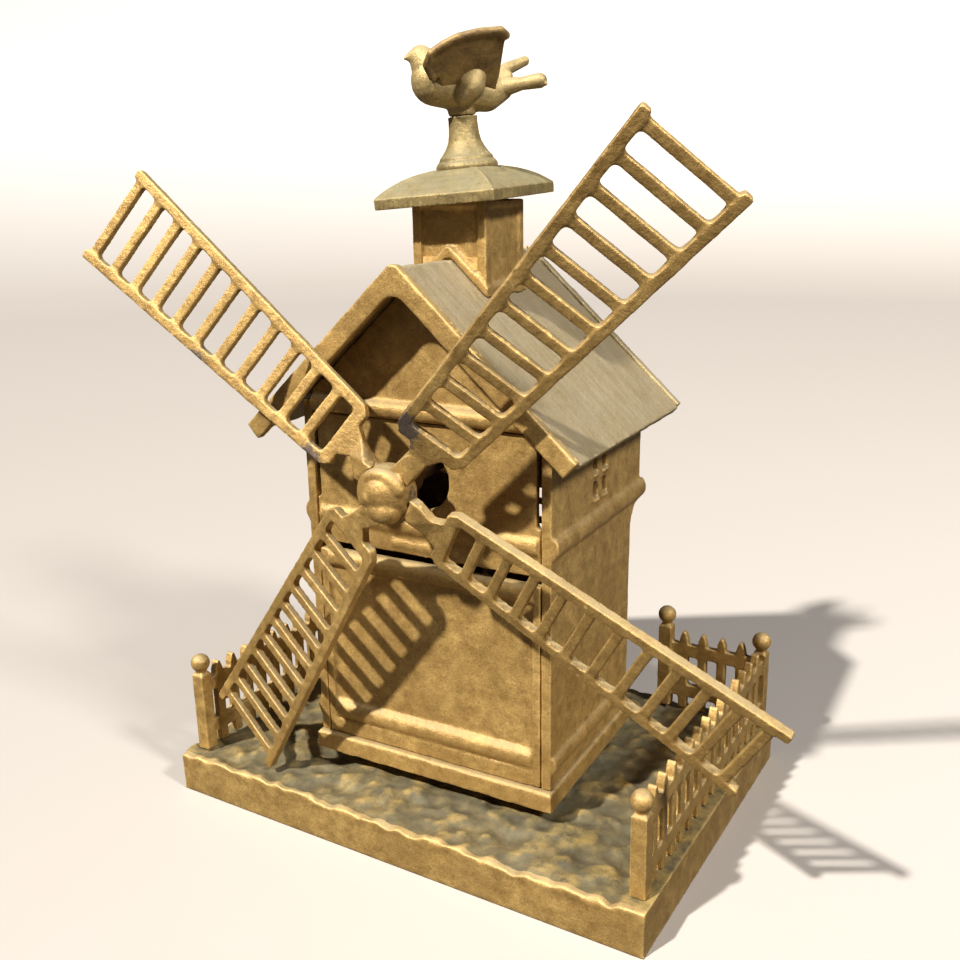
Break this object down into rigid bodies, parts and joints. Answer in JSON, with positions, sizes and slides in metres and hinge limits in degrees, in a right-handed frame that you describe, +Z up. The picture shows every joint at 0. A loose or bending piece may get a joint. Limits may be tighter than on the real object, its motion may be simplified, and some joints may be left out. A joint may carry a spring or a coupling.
{
  "type": "cast iron still bank",
  "caption": "Gold-painted cast-iron windmill money box: a jettied house on a centre post above a fenced base, ladder sails on a drooping shaft, hipped chimney cap and a dove.",
  "frame": {"origin": "centre of the base's underside, on the table", "axes": "+Z up, +Y towards the back of the house, +X to the right as seen from the sails"},
  "size_m": [0.2212, 0.1306, 0.2512],
  "materials": {
    "gold_paint": "worn gold-bronze paint on rough cast iron",
    "roof_paint": "duller greenish gold paint on rough cast iron",
    "ground": "dull olive-gold paint on lumpy cast iron",
    "bare_iron": "bare dark iron"
  },
  "bodies": {
    "base": {"base_plate": "ground", "fence_left": "gold_paint", "fence_right": "gold_paint", "fence_back_left": "gold_paint", "fence_back_right": "gold_paint"},
    "house": {"plinth": "gold_paint", "side_wall_left": "gold_paint", "side_wall_right": "gold_paint", "front_lower_panel": "gold_paint", "front_upper_panel": "gold_paint", "front_gable": "gold_paint", "back_lower_panel": "gold_paint", "back_upper_panel": "gold_paint", "back_gable": "gold_paint", "roof_left": "roof_paint", "roof_right": "roof_paint", "bargeboard_front_left": "gold_paint", "bargeboard_front_right": "gold_paint", "bargeboard_back_left": "roof_paint", "bargeboard_back_right": "roof_paint", "shaft_crossbar": "gold_paint", "chimney": "gold_paint", "chimney_cap": "roof_paint", "pedestal": "roof_paint", "bird_body": "gold_paint", "bird_tail": "gold_paint", "bird_wing_left": "gold_paint", "bird_wing_right": "gold_paint", "centre_rod": "bare_iron", "rod_nut": "bare_iron"},
    "sails": {"windshaft": "bare_iron", "shaft_keeper": "bare_iron", "sail_hub": "gold_paint", "sail_upper_right": "gold_paint", "sail_upper_left": "gold_paint", "sail_lower_left": "gold_paint", "sail_lower_right": "gold_paint"}
  },
  "joints": [
    {"name": "house_turn", "type": "hinge", "parent": "base", "child": "house", "pos_m": [0.0025, -0.007, 0], "axis": [0, 0, 1], "range_deg": [-1, 50]},
    {"name": "sail_turn", "type": "hinge", "parent": "house", "child": "sails", "pos_m": [0.00868, -0.06109, 0.12397], "axis": [0.0411, -0.9961, -0.0785], "range_deg": [-1, 0]}
  ]
}
